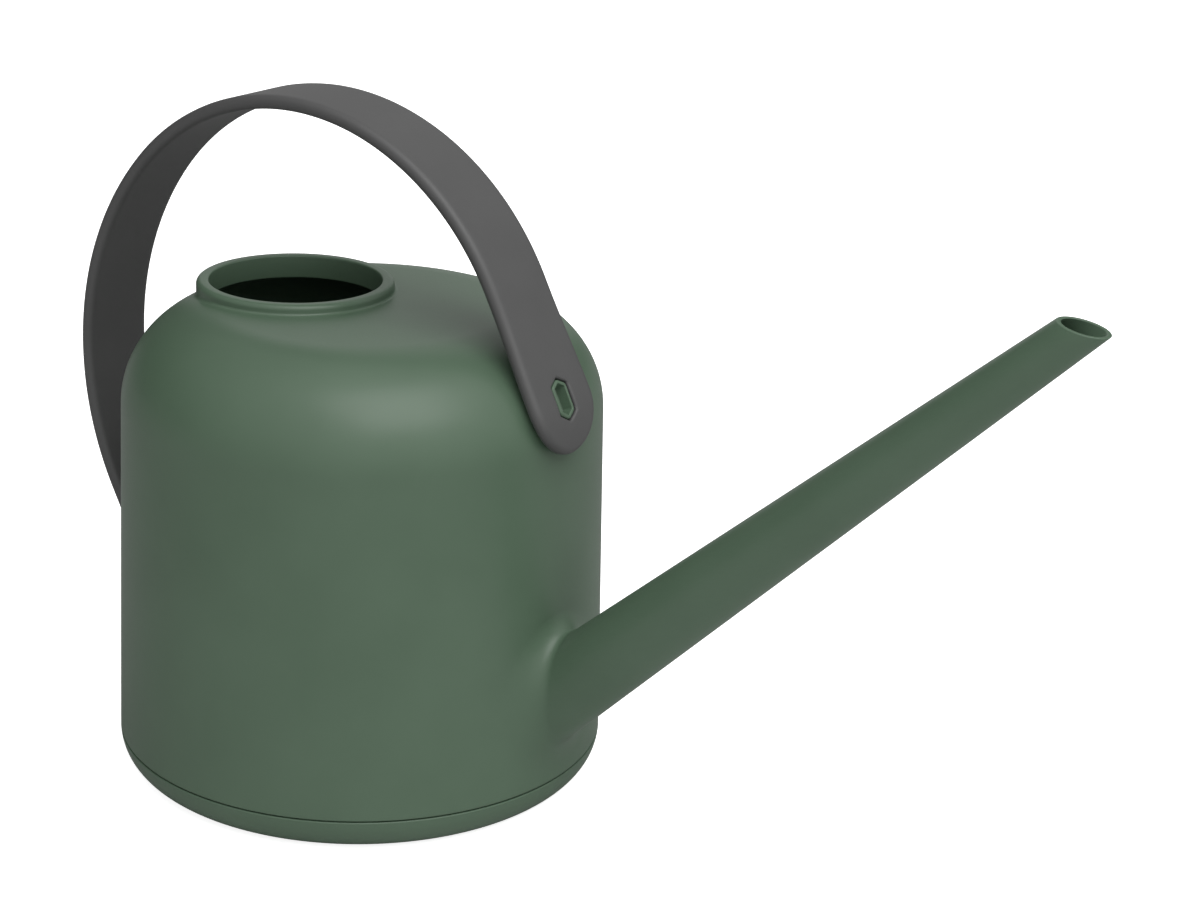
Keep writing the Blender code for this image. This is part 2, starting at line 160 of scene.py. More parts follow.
# %% [markdown]
# ## The tank's skin
#
# The tank is blown or injection moulded: a wall that widens a little downwards so that it
# leaves its mould, a rounded shoulder, and a flat top. One profile gives all three. A place
# on it is named by how far one walks over the surface from the middle of the top, so that
# grid lines can be spread evenly over the shoulder. The inside is the same profile with a
# smaller shoulder, one wall thickness further in.

# %% The tank's profile
BODY_RADIUS = 70.0        # where the shoulder meets the wall
TOP = 140.7               # height of the flat top
SHOULDER = 29.2           # radius of the rounded shoulder
SEAM = 11.4               # height of the seam above the base cap
DRAFT = 2.2 / 100.1       # how much the wall widens for each millimetre down
WALL = 2.0                # wall thickness

FLAT = BODY_RADIUS - SHOULDER
SHOULDER_CENTRE = TOP - SHOULDER
SHOULDER_END = pi / 2 - atan(DRAFT)


def walk_end(inset):
    """How far it is over the surface from the middle of the top to the wall."""
    return FLAT + (SHOULDER - inset) * SHOULDER_END


def dome(walked, inset=0.0):
    """(radius, height, outward normal's radial and upward parts) at a walked distance:
    straight over the flat top, then round the shoulder's arc."""
    turn = np.clip((walked - FLAT) / (SHOULDER - inset), 0, None)
    radius = np.minimum(walked, FLAT) + (SHOULDER - inset) * np.sin(turn)
    height = SHOULDER_CENTRE + (SHOULDER - inset) * np.cos(turn)
    return radius, height, np.sin(turn), np.cos(turn)


def walked_to(radius, inset=0.0):
    """The walked distance at which the dome has this radius."""
    beyond = np.clip((radius - FLAT) / (SHOULDER - inset), 0, 1)
    return np.minimum(radius, FLAT) + (SHOULDER - inset) * np.arcsin(beyond)


def wall_radius(height, inset=0.0):
    """Radius of the drafted wall at a height."""
    edge, start, _, _ = dome(walk_end(inset), inset)
    return edge + (start - height) * DRAFT


def wall_place(across, height, inset=0.0):
    """A point on the wall, named by its height and by how far round it is from the spout's
    side, measured along a circle of the body's radius. Its normal comes with it."""
    angle = across / BODY_RADIUS
    radius = wall_radius(height, inset)
    point = np.stack([radius * np.cos(angle), radius * np.sin(angle), height + 0 * angle], -1)
    normal = np.stack([np.cos(angle), np.sin(angle), DRAFT + 0 * angle], -1)
    return point, unit(normal)


def wall_rows(heights, columns, inset=0.0):
    """Rows of the wall at these heights, with a point at each angle in columns."""
    return wall_place(columns[None, :] * BODY_RADIUS, heights[:, None] + 0 * columns, inset)[0]


COLUMNS = 256
ROUND = 2 * pi * np.arange(COLUMNS) / COLUMNS
WALL_START = float(dome(walk_end(0.0))[1])
print("the wall meets the shoulder at", round(WALL_START, 2), "mm and is",
      round(float(wall_radius(SEAM)), 2), "mm in radius at the seam")

# %% [markdown]
# ## The spout
#
# The spout is a long straight cone that leaves the wall low down and climbs at 43 degrees,
# so that its mouth is above the water when the can is full. It is cut off nearly level,
# which gives the thin stream a clean edge to leave from. A point beside its axis is named
# by an angle round it, with 0 on the upper side, and a distance along it.

# %% The spout's cone, and where it meets other surfaces
CLIMB = radians(43.0)
SPOUT_HEIGHT = 38.33      # where the axis leaves the wall
SPOUT_LENGTH = 203.8      # from there to the middle of the opening
ROOT_RADIUS, TIP_RADIUS = 12.45, 5.7
ROOT_WALL, TIP_WALL = 1.8, 1.1
CUT_TILT = radians(9.6)   # the opening dips this much towards the front

AXIS = np.array([cos(CLIMB), 0, sin(CLIMB)])
AXIS_UP = np.array([-sin(CLIMB), 0, cos(CLIMB)])
SIDE = np.array([0.0, 1.0, 0.0])
SPOUT_START = np.array([float(wall_radius(SPOUT_HEIGHT)), 0, SPOUT_HEIGHT])
CUT_MIDDLE = SPOUT_START + AXIS * SPOUT_LENGTH
CUT_NORMAL = np.array([sin(CUT_TILT), 0, cos(CUT_TILT)])


def spout_radius(along, bore=False):
    """Radius of the cone at a distance along it, or of the bore inside it."""
    share = along / SPOUT_LENGTH
    wall = (ROOT_WALL + (TIP_WALL - ROOT_WALL) * share) if bore else 0.0
    return ROOT_RADIUS + (TIP_RADIUS - ROOT_RADIUS) * share - wall


def spout_place(angle, along, bore=False):
    """A point on the cone: from the axis, the radius times up cos(a) + side sin(a). The
    cone's outward normal comes with it."""
    angle, along = np.broadcast_arrays(angle, along)
    outward = np.cos(angle)[..., None] * AXIS_UP + np.sin(angle)[..., None] * SIDE
    point = SPOUT_START + along[..., None] * AXIS + spout_radius(along, bore)[..., None] * outward
    return point, unit(outward + AXIS * (ROOT_RADIUS - TIP_RADIUS) / SPOUT_LENGTH)


def along_to_wall(angle, inset=0.0, bore=False):
    """How far along the axis each side of the cone meets the wall, closed in on step by
    step: the miss at the wall is walked back along the axis."""
    along = np.zeros_like(angle)
    for _ in range(40):
        point, _ = spout_place(angle, along, bore)
        miss = np.hypot(point[:, 0], point[:, 1]) - wall_radius(point[:, 2], inset)
        along = along - miss / AXIS[0]
    return along


def along_to_cut(angle, bore=False):
    """How far along the axis each side of the cone reaches the slanted cut."""
    along = np.full_like(angle, SPOUT_LENGTH)
    for _ in range(40):
        point, _ = spout_place(angle, along, bore)
        along = along - (point - CUT_MIDDLE) @ CUT_NORMAL / (AXIS @ CUT_NORMAL)
    return along


# %% [markdown]
# ## The window around the spout's root
#
# The wall is a plain grid of rows and columns, but it needs a hole shaped like the root of
# the spout. So a rectangle of quads is left out of the wall, and the ring between that
# rectangle and the root is filled by a grid of its own. Its spokes run from each point of
# the rectangle's edge to the point of the root with the same angle, and all its points are
# laid exactly on the wall.

# %% The window's edge and its angles
WINDOW_COLUMNS = 16       # columns left out on each side of the spout's middle
WINDOW_ROWS = 31
WINDOW_TOP, WINDOW_BOTTOM = 72.0, 12.3

window_half = ROUND[WINDOW_COLUMNS] * BODY_RADIUS
window_heights = np.linspace(WINDOW_TOP, WINDOW_BOTTOM, WINDOW_ROWS)
edge_across = np.linspace(-window_half, window_half, 2 * WINDOW_COLUMNS + 1)
window_across = np.concatenate([
    edge_across[WINDOW_COLUMNS:], np.full(WINDOW_ROWS - 2, window_half), edge_across[::-1],
    np.full(WINDOW_ROWS - 2, -window_half), edge_across[:WINDOW_COLUMNS],
])
window_height = np.concatenate([
    np.full(WINDOW_COLUMNS + 1, WINDOW_TOP), window_heights[1:-1],
    np.full(2 * WINDOW_COLUMNS + 1, WINDOW_BOTTOM), window_heights[-2:0:-1],
    np.full(WINDOW_COLUMNS, WINDOW_TOP),
])
root_angles = np.arctan2(window_across, (window_height - SPOUT_HEIGHT) * cos(CLIMB)) % (2 * pi)
print(len(root_angles), "spokes around the spout's root")


def root_grids(inset, bore, reach_up, reach_side, reach_down, spout_share, rows):
    """The grids around the root, on the outside or on the inside of the tank: the ring
    that fills the window, and the hollow round. The round's reach from the corner line
    changes smoothly from the upper side to the lower one; up the spout it is a share of
    what it is on the wall. Returns the grids, and how far along the axis it ends."""
    start = along_to_wall(root_angles, inset, bore)
    corner, _ = spout_place(root_angles, start, bore)
    across = np.arctan2(corner[:, 1], corner[:, 0]) * BODY_RADIUS
    height = corner[:, 2]
    run = np.stack([np.roll(across, -1) - np.roll(across, 1),
                    np.roll(height, -1) - np.roll(height, 1)], -1)
    away = unit(np.stack([-run[:, 1], run[:, 0]], -1))
    upper, lower = np.cos(root_angles / 2) ** 2, np.sin(root_angles / 2) ** 2
    sides = np.sin(root_angles) ** 2
    reach = (reach_up * upper + reach_down * lower) * (1 - sides) + reach_side * sides
    on_across = across + away[:, 0] * reach
    on_height = height + away[:, 1] * reach
    first, first_normal = wall_place(on_across, on_height, inset)
    end = start + reach * spout_share
    last, last_normal = spout_place(root_angles, end, bore)
    ribbon = hollow_round(first, corner, last, first_normal, last_normal, rows)
    share = np.linspace(0, 1, 15)[:, None] ** 1.4
    ring = wall_place(on_across + (window_across - on_across) * share,
                      on_height + (window_height - on_height) * share, inset)[0]
    return [(ring, True), (ribbon, True)], end


# %% [markdown]
# ## The mouth
#
# Water goes in through a round mouth behind the middle of the top, out of the way of the
# hand on the strap. Its neck is a short upright tube, with a well rounded lip at the top and
# a small hollow round where it meets the tank. At the front it stands on the flat top, and
# at the back it reaches down over the shoulder. The top is therefore drawn as one grid
# whose rings change from the neck's circle into the wall's circle. The change is made on
# the surface rolled out flat, so that no point leaves the dome.

# %% The dome with its mouth, outside and inside
MOUTH_X = -25.8
MOUTH_RADIUS = 25.3
NECK_RADIUS = 29.0
LIP_TOP = TOP + 3.0
NECK_ROUND = 1.0          # reach of the hollow round at the foot of the neck
LIP_OUTER, LIP_INNER = 1.5, 0.6   # rounding of the lip's outer and inner edges
NECK_BOTTOM = 136.6


def mouth_circle(radius, height):
    """A ring around the mouth's axis: its height is one number, or one for each point."""
    height = height + 0 * ROUND
    return np.stack([MOUTH_X + radius * np.cos(ROUND), radius * np.sin(ROUND), height], -1)


def on_dome(x, y, inset=0.0):
    """The point of the dome above or below (x, y), with its normal."""
    radius, angle = np.hypot(x, y), np.arctan2(y, x)
    _, height, slope, rise = dome(walked_to(radius, inset), inset)
    normal = np.stack([slope * np.cos(angle), slope * np.sin(angle), rise], -1)
    return np.stack([x, y, height], -1), normal


def dome_grid(inner_radius, inset, rows):
    """Rings from a circle around the mouth to the wall, on the dome rolled out flat: each
    point goes straight from its place on the one to its place on the other."""
    inner = mouth_circle(inner_radius, 0.0)
    walked = walked_to(np.hypot(inner[:, 0], inner[:, 1]), inset)
    angle = np.arctan2(inner[:, 1], inner[:, 0])
    flat = np.stack([walked * np.cos(angle), walked * np.sin(angle)], -1)
    outer = walk_end(inset) * np.stack([np.cos(ROUND), np.sin(ROUND)], -1)
    spread = between(flat, outer, np.linspace(0, 1, rows))
    angle = np.arctan2(spread[..., 1], spread[..., 0])
    radius, height, _, _ = dome(np.hypot(spread[..., 0], spread[..., 1]), inset)
    return np.stack([radius * np.cos(angle), radius * np.sin(angle), height], -1)


neck_foot = mouth_circle(NECK_RADIUS, 0.0)
neck_corner, _ = on_dome(neck_foot[:, 0], neck_foot[:, 1])
neck_start = mouth_circle(NECK_RADIUS + NECK_ROUND, 0.0)
neck_start, neck_start_normal = on_dome(neck_start[:, 0], neck_start[:, 1])
neck_end = neck_corner + [0, 0, NECK_ROUND * 0.8]
outward = unit(neck_foot - [MOUTH_X, 0, 0])
neck_foot_round = hollow_round(neck_start, neck_corner, neck_end, neck_start_normal, outward, 9)

lip = np.concatenate([
    edge_round(mouth_circle(NECK_RADIUS, LIP_TOP - LIP_OUTER), mouth_circle(NECK_RADIUS, LIP_TOP),
               mouth_circle(NECK_RADIUS - LIP_OUTER, LIP_TOP), 9),
    edge_round(mouth_circle(MOUTH_RADIUS + LIP_INNER, LIP_TOP), mouth_circle(MOUTH_RADIUS, LIP_TOP),
               mouth_circle(MOUTH_RADIUS, LIP_TOP - LIP_INNER), 6),
    edge_round(mouth_circle(MOUTH_RADIUS, NECK_BOTTOM + 0.5), mouth_circle(MOUTH_RADIUS, NECK_BOTTOM),
               mouth_circle(MOUTH_RADIUS + 0.5, NECK_BOTTOM), 5),
    mouth_circle(NECK_RADIUS - 1.5, NECK_BOTTOM)[None],
])
outer_dome = dome_grid(NECK_RADIUS + NECK_ROUND, 0.0, 84)
inner_dome = dome_grid(NECK_RADIUS, WALL, 48)
under_neck = np.stack([lip[-1], inner_dome[0]])
print("the lip stands", round(LIP_TOP - TOP, 1), "mm over the top; the mouth is",
      2 * MOUTH_RADIUS, "mm across")

# %% [markdown]
# ## The whole moulding
#
# Outside and inside are joined at three edges: over the lip, round the spout's cut end and
# at the bottom edge, where the cap's spigot goes in. So the tank is one closed skin with a
# real wall thickness, and light gets in only where it does in the real one.

# %% Build the tank with its spout
SPOUT_ROWS = 48
TIP_ROUND = 0.32


def wall_grids(inset, bottom):
    """The wall above the window, and the wall beside it, as rows of points."""
    start = float(dome(walk_end(inset), inset)[1])
    above = wall_rows(np.linspace(start, WINDOW_TOP, 22), ROUND, inset)
    beside = wall_rows(window_heights, ROUND[WINDOW_COLUMNS:COLUMNS - WINDOW_COLUMNS + 1], inset)
    below = wall_rows(np.array([WINDOW_BOTTOM, bottom]), ROUND, inset)
    return [(above, True), (beside, False), (below, True)]


outer_root, outer_start = root_grids(0.0, False, 9.0, 12.5, 7.0, 0.7, 25)
inner_root, inner_start = root_grids(WALL, True, 2.0, 2.0, 2.0, 1.0, 7)
outer_end, inner_end = along_to_cut(root_angles), along_to_cut(root_angles, True)
shares = np.linspace(0, 1, SPOUT_ROWS)[:, None]
cone, _ = spout_place(root_angles, outer_start + (outer_end - TIP_ROUND - outer_start) * shares)
bore, _ = spout_place(root_angles, inner_start + (inner_end - TIP_ROUND - inner_start) * shares, True)
outer_rim, _ = spout_place(root_angles, outer_end)
inner_rim, _ = spout_place(root_angles, inner_end, True)
inward = unit(inner_rim - outer_rim)
rim = np.concatenate([
    edge_round(cone[-1], outer_rim, outer_rim + inward * TIP_ROUND),
    edge_round(inner_rim - inward * TIP_ROUND, inner_rim, bore[-1]),
])

EDGE_ROUND = 0.35
bottom_outer = wall_rows(np.array([SEAM + EDGE_ROUND, SEAM]), ROUND)
bottom_inner = wall_rows(np.array([SEAM]), ROUND, WALL)[0]
bottom_in = unit(bottom_inner - bottom_outer[1])
bottom_edge = np.concatenate([
    edge_round(bottom_outer[0], bottom_outer[1], bottom_outer[1] + bottom_in * EDGE_ROUND),
    bottom_inner[None],
])

tank = make_piece("tank_and_spout", [
    (outer_dome, True), (neck_foot_round, True), (np.concatenate([neck_end[None], lip]), True),
    (under_neck, True), (inner_dome, True),
    *wall_grids(0.0, SEAM + EDGE_ROUND), *wall_grids(WALL, SEAM), (bottom_edge, True),
    *outer_root, *inner_root, (cone, True), (rim, True), (bore, True),
])

# %% [markdown]
# ## The base cap
#
# A tank moulded over a core is open below, where the core comes out. A shallow dish closes
# it: its rounded edge carries the wall's line down to the ground, and a spigot inside plugs
# into the tank. A fine dark line is left between the two. It is a turned shape, so a
# profile of radius and height is carried round the axis.

# %% Build the base cap
CAP_RIM = 11.0
CAP_EDGE = 11.2           # radius of the rounded edge
CAP_WALL = 2.0
SPIGOT_TOP, SPIGOT_WALL, SPIGOT_GAP = 17.4, 1.6, 0.3
SPIGOT_ROUND = 0.3        # bevel on the spigot's edges
RIM_ROUND = 0.35          # rounding of the rim under the seam
EDGE_START = -0.055       # the edge's arc starts a little under its widest place


def arc(centre, radius, start, end, count):
    """(radius, height) points along an arc of a circle."""
    angle = np.linspace(start, end, count)
    return np.stack([centre[0] + radius * np.cos(angle), centre[1] + radius * np.sin(angle)], -1)


cap_side = float(wall_radius(CAP_RIM))
spigot_out = float(wall_radius(SPIGOT_TOP)) - WALL - SPIGOT_GAP
spigot_in = spigot_out - SPIGOT_WALL
edge_centre = (cap_side - CAP_EDGE, CAP_EDGE)
inner_edge = CAP_EDGE - CAP_WALL
inner_reach = spigot_in - edge_centre[0]
cap_profile = np.concatenate([
    [[0, CAP_WALL], [edge_centre[0] / 2, CAP_WALL]],
    arc(edge_centre, inner_edge, -pi / 2, -np.arccos(inner_reach / inner_edge), 9),
    [[spigot_in, SPIGOT_TOP - SPIGOT_ROUND], [spigot_in + SPIGOT_ROUND, SPIGOT_TOP],
     [spigot_out - SPIGOT_ROUND, SPIGOT_TOP], [spigot_out, SPIGOT_TOP - SPIGOT_ROUND],
     [spigot_out, CAP_RIM + 0.2], [spigot_out + 0.2, CAP_RIM]],
    arc((cap_side - RIM_ROUND, CAP_RIM - RIM_ROUND), RIM_ROUND, pi / 2, 0, 5),
    arc(edge_centre, CAP_EDGE, EDGE_START, -pi / 2, 22),
    [[edge_centre[0] / 2, 0], [0, 0]],
])
cap_grid = np.stack([
    cap_profile[:, :1] * np.cos(ROUND), cap_profile[:, :1] * np.sin(ROUND),
    cap_profile[:, 1:] + 0 * ROUND,
], -1)
cap = make_piece("base_cap_dish", [(cap_grid, True)])

# %% [markdown]
# ## The strap's path
#
# The handle is a flat strap of soft plastic, stamped or moulded straight. Buttoned down at
# the front of the shoulder and low on the back of the tank, it springs up into an arch. Its
# centre line is a chain of straight and round stretches that follow each other with no
# kink: each one starts with the place and heading where the last one ended.

# %% The centre line
STRAP_WIDTH, STRAP_THICK = 25.4, 4.2
STRAP_END = 15.3          # from a peg's middle to the strap's tip
STRAP_END_WIDTH = 27.4    # width of each round end, across its peg
STRAP_TAPER = 30.0        # length over which an end narrows to the strap's width
STRAP_GAP = 0.3
FOOT_RISE = radians(27.9) # the front peg's place on the shoulder, as an angle above level
STRAIGHT = 33.9           # straight stretch after the front foot
FRONT_BEND, FRONT_TURN = 79.0, radians(109.4)     # radius of the arch's front, and how far it turns
REAR_BEND, REAR_TURN = 91.6, radians(70.8)
BACK_BEND = 22.0          # radius where the strap bends back to the wall
WALL_RUN = 6.0            # straight stretch on the wall above the rear peg

face_offset = STRAP_GAP + STRAP_THICK / 2
foot_radius = SHOULDER + face_offset
foot_angle = FOOT_RISE - STRAP_END / foot_radius
rear_heading = 3 * pi / 2 - atan(DRAFT)


def walk(place, heading, length, bend):
    """Where a stretch ends: along its chord, 2 sin(q/2) / bend for a turn q = bend x
    length, and turned by q."""
    turn = bend * length
    chord = length if bend == 0 else 2 * sin(turn / 2) / bend
    way = heading + turn / 2
    return place + chord * np.array([cos(way), sin(way)]), heading + turn


def join_stretches():
    """The stretches as (start, heading, length, bend). The last ones bring the strap back
    to the wall, straight down it to the rear peg and on to its round end."""
    place = np.array([FLAT + foot_radius * cos(foot_angle),
                      SHOULDER_CENTRE + foot_radius * sin(foot_angle)])
    heading = pi / 2 + foot_angle
    plan = [(STRAP_END, 1 / foot_radius), (STRAIGHT, 0.0),
            (FRONT_BEND * FRONT_TURN, 1 / FRONT_BEND), (REAR_BEND * REAR_TURN, 1 / REAR_BEND)]
    made = []
    for length, bend in plan:
        made.append((place, heading, length, bend))
        place, heading = walk(place, heading, length, bend)
    back = (BACK_BEND * (heading - rear_heading), -1 / BACK_BEND)
    bent, _ = walk(place, heading, *back)
    to_wall = -bent[0] - float(wall_radius(bent[1])) - face_offset
    drop = to_wall / (cos(heading) - DRAFT * sin(heading))
    for length, bend in [(drop, 0.0), back, (WALL_RUN + STRAP_END, 0.0)]:
        made.append((place, heading, length, bend))
        place, heading = walk(place, heading, length, bend)
    return made


stretches = join_stretches()
starts = np.cumsum([0.0] + [length for _, _, length, _ in stretches])
STRAP_LENGTH = float(starts[-1])


def on_path(along):
    """(x, z, heading) at distances along the centre line, for a whole array at once."""
    along = np.asarray(along, float)
    x, z, heading = (np.zeros_like(along) for _ in range(3))
    for (place, start_heading, length, bend), start in zip(stretches, starts):
        here = (along >= start - 1e-9) if start > 0 else np.ones_like(along, bool)
        step = along - start
        turn = step * bend
        chord = step if bend == 0 else 2 * np.sin(turn / 2) / bend
        way = start_heading + turn / 2
        x = np.where(here, place[0] + chord * np.cos(way), x)
        z = np.where(here, place[1] + chord * np.sin(way), z)
        heading = np.where(here, start_heading + turn, heading)
    return x, z, heading


def strap_place(along, across, depth):
    """A point of the strap: along its centre line, across it, and outwards by depth."""
    along, across, depth = np.broadcast_arrays(along, across, depth)
    x, z, heading = on_path(along)
    return np.stack([x + np.sin(heading) * depth, across, z - np.cos(heading) * depth], -1)


print("strap", round(STRAP_LENGTH, 1), "mm long, top at",
      round(float(strap_place(np.linspace(0, STRAP_LENGTH, 400), 0, STRAP_THICK / 2)[:, 2].max()), 1))

# %% [markdown]
# ## The strap
#
# Across its flat faces the strap is a grid too. At each end it has a hole for the peg: an
# elongated hexagon with its points along the strap, with a wider step that the peg's head
# sinks into. The grid is slit along its middle, and where a hole is, the slit's two sides
# are pushed apart by half the hexagon's width at that place. That way the holes cost no
# cutting, and every grid line still runs on past them.

# %% The outline, its rounded edge and the holes
EDGE = 2.0                # rounding of the strap's long edges
PEG_LENGTH, PEG_WIDTH = 10.6, 5.8
STEP_OUT = 0.6            # how much wider the step is than the hole, on each side
CLEAR = 0.3
HEAD_SINK, HEAD_THICK = 0.3, 1.0
HOLE_ROUND = 0.7          # rounding of the step's edge at the strap's outer face
STEP_DEPTH = STRAP_THICK / 2 - HEAD_SINK - HEAD_THICK - CLEAR


def half_width(along):
    """Half the width: half an ellipse at each end, then a cosine ease to the strap's width."""
    near = np.minimum(along, STRAP_LENGTH - along)
    ease = np.clip((near - STRAP_END) / STRAP_TAPER, 0, 1)
    plain = STRAP_WIDTH / 2 + (STRAP_END_WIDTH - STRAP_WIDTH) / 2 * (1 + np.cos(pi * ease)) / 2
    tip = STRAP_END_WIDTH / 2 * np.sqrt(np.clip(1 - (1 - near / STRAP_END) ** 2, 0, None))
    return np.where(near < STRAP_END, tip, plain)


def hexagon_half(offset, length, width):
    """Half the hexagon's width at a distance from its middle: it rises from each point at
    60 degrees to its straight sides."""
    return np.clip((length / 2 - np.abs(offset)) * tan(radians(60)), 0, width / 2)


def hole_rows(length, width):
    """Distances from a hole's middle at which it gets a row: both points, both shoulders,
    and a few between."""
    point, shoulder = length / 2, length / 2 - width / 2 * tan(radians(30))
    slope = np.linspace(point, shoulder, 5)
    return np.concatenate([-slope, np.linspace(-shoulder, shoulder, 8)[1:-1], slope[::-1]])


hole = (PEG_LENGTH + 2 * CLEAR, PEG_WIDTH + 2 * CLEAR)
step = tuple(size + 2 * STEP_OUT for size in hole)
opening = tuple(size + 2 * HOLE_ROUND for size in step)
hole_offsets, step_offsets, open_offsets = hole_rows(*hole), hole_rows(*step), hole_rows(*opening)
tip_turn = np.linspace(0, pi / 2, 24)
tip_rows = STRAP_END * (1 - np.cos(tip_turn))
tip_rows = tip_rows[tip_rows < STRAP_END + open_offsets[0] - 0.3]
front_rows = np.concatenate([tip_rows, STRAP_END + open_offsets])
middle_rows = np.linspace(front_rows[-1] + 1.6, STRAP_LENGTH - front_rows[-1] - 1.6, 150)
edge_rows = np.concatenate([front_rows, middle_rows, STRAP_LENGTH - front_rows[::-1]])

slope = (half_width(edge_rows + 0.01) - half_width(edge_rows - 0.01)) / 0.02
outline_normal = unit(np.stack([-slope, np.ones_like(slope)], -1))
near_end = np.minimum(edge_rows, STRAP_LENGTH - edge_rows)
on_tip = near_end < STRAP_END
facing = np.where(edge_rows < STRAP_LENGTH / 2, -1.0, 1.0)
tip_normal = unit(np.stack([facing * (STRAP_END - near_end) / STRAP_END ** 2,
                            half_width(edge_rows) / (STRAP_END_WIDTH / 2) ** 2], -1))
outline_normal = np.where(on_tip[:, None], tip_normal, outline_normal)

first_hole = len(tip_rows)
hole_slice = slice(first_hole, first_hole + len(hole_offsets))
back_slice = slice(len(edge_rows) - hole_slice.stop, len(edge_rows) - hole_slice.start)


def middle_line(offsets, size):
    """For each row, where the slit is along the strap and how wide it stands open."""
    along = edge_rows - EDGE * outline_normal[:, 0]
    open_by = np.zeros_like(along)
    along[hole_slice] = STRAP_END + offsets
    along[back_slice] = STRAP_LENGTH - STRAP_END - offsets[::-1]
    open_by[hole_slice] = hexagon_half(offsets, *size)
    open_by[back_slice] = open_by[hole_slice][::-1]
    return along, open_by


# %% Build the strap
def face_grid(side, depth, offsets, size):
    """Half of one flat face, from the slit out to where the edge's rounding starts."""
    along, open_by = middle_line(offsets, size)
    outer_along = edge_rows - EDGE * outline_normal[:, 0]
    outer_across = half_width(edge_rows) - EDGE * outline_normal[:, 1]
    share = np.linspace(0, 1, 11)[None, :]
    return strap_place(along[:, None] + (outer_along - along)[:, None] * share,
                       side * (open_by[:, None] + (outer_across - open_by)[:, None] * share), depth)


def edge_grid(side):
    """The long edge: a quarter round, a flat side and a quarter round, set in from the
    outline along its normal."""
    quarter = np.linspace(0, pi / 2, 6)
    inset = EDGE * (1 - np.concatenate([np.sin(quarter), np.cos(quarter)]))
    flat = STRAP_THICK / 2 - EDGE
    depth = np.concatenate([flat + EDGE * np.cos(quarter), -flat - EDGE * np.sin(quarter)])
    along = edge_rows[:, None] - outline_normal[:, :1] * inset
    across = half_width(edge_rows)[:, None] - outline_normal[:, 1:] * inset
    return strap_place(along, side * across, depth[None, :])


def hole_wall(side, rows_at, sizes):
    """The wall of a hole: down the wide hexagon, in over the step, down the narrow one."""
    rows = []
    for offsets, size, depth in sizes:
        along, open_by = middle_line(offsets, size)
        rows.append(strap_place(along[rows_at], side * open_by[rows_at], depth))
    return np.stack(rows)


half_thick = STRAP_THICK / 2
edge_turn = np.linspace(0, pi / 2, 5)
grown = [2 * HOLE_ROUND * (1 - sin(turn)) for turn in edge_turn]
rounded = [(hole_rows(*size), size, half_thick - HOLE_ROUND * (1 - cos(turn))) for size, turn in
           zip([(step[0] + more, step[1] + more) for more in grown], edge_turn)]
steps_down = rounded + [(step_offsets, step, STEP_DEPTH),
                        (hole_offsets, hole, STEP_DEPTH), (hole_offsets, hole, -half_thick)]
strap_grids = []
for side in (1, -1):
    strap_grids.append((face_grid(side, half_thick, open_offsets, opening), False))
    strap_grids.append((face_grid(side, -half_thick, hole_offsets, hole), False))
    strap_grids.append((edge_grid(side), False))
    for rows_at in (hole_slice, back_slice):
        strap_grids.append((hole_wall(side, rows_at, steps_down), False))
strap = make_piece("strap_band", strap_grids)
strap.data.set_sharp_from_angle(angle=radians(50))

# %% [markdown]
# ## The pegs
#
# The pegs are part of the tank's moulding. Each is a long hexagon, so that the strap can't
# twist on it, hollow from outside, so that the thick plastic doesn't sink as it cools, and
# with a thin head that the soft strap is pulled over. A rounded hexagon is a small hexagon
# with a circle rolled round it: growing the circle moves the outline out evenly, so one
# list of (growth, height) pairs gives the whole peg.

# %% Build the two pegs
PEG_CORNER = 1.2          # the circle rolled round the small hexagon
PEG_HEAD_OUT = 0.5        # how far the head stands out over the shank
PEG_HEAD_ROUND = 0.65     # rounding of the head's outer edge
PEG_WALL = 0.65           # thickness left between the shank's side and the recess
PEG_FLOOR = 0.4           # height of the recess's floor over the strap's inner face
PEG_ROOT = 1.3            # how deep the shank runs into the tank's wall
SMALL_ROUND, SMALL_STEP = 0.3, 0.25               # the recess's upper and lower edges


def hexagon_outline(growth):
    """The outline moved outwards by growth: the corner that faces each direction, plus a
    circle's point in that direction."""
    half = PEG_WIDTH / 2 - PEG_CORNER
    point = PEG_LENGTH / 2 - PEG_CORNER / cos(radians(30))
    shoulder = point - half * tan(radians(30))
    corners = np.array([(half, shoulder), (0, point), (-half, shoulder),
                        (-half, -shoulder), (0, -point), (half, -shoulder)])
    turn = radians(60) * (np.arange(6)[:, None] + np.linspace(0, 1, 7)[None, :])
    direction = np.stack([np.cos(turn), np.sin(turn)], -1)
    return (corners[:, None, :] + (PEG_CORNER + growth) * direction).reshape(-1, 2)


def make_peg(name, along):
    """A peg at a distance along the strap, from the middle of its floor, up the recess,
    over the rim and down to its root in the tank's wall."""
    head_top = STRAP_THICK - HEAD_SINK
    head_low = head_top - HEAD_THICK
    turn = np.linspace(0, pi / 2, 5)
    inner_side = zip(SMALL_ROUND * (1 - np.cos(turn)) - PEG_WALL,
                     head_top - SMALL_ROUND * (1 - np.sin(turn)))
    outer_side = zip(PEG_HEAD_OUT - PEG_HEAD_ROUND * (1 - np.sin(turn)),
                     head_top - PEG_HEAD_ROUND * (1 - np.cos(turn)))
    profile = [(None, PEG_FLOOR), (-PEG_WALL - SMALL_STEP, PEG_FLOOR),
               (-PEG_WALL, PEG_FLOOR + SMALL_STEP), *inner_side, *outer_side,
               (PEG_HEAD_OUT, head_low), (0.0, head_low - 0.15), (0.0, -PEG_ROOT), (None, -PEG_ROOT)]
    rows = []
    for growth, height in profile:
        outline = np.zeros((42, 2)) if growth is None else hexagon_outline(growth)
        rows.append(strap_place(along + outline[:, 1], outline[:, 0], height - STRAP_THICK / 2))
    return make_piece(name, [(np.stack(rows), True)])


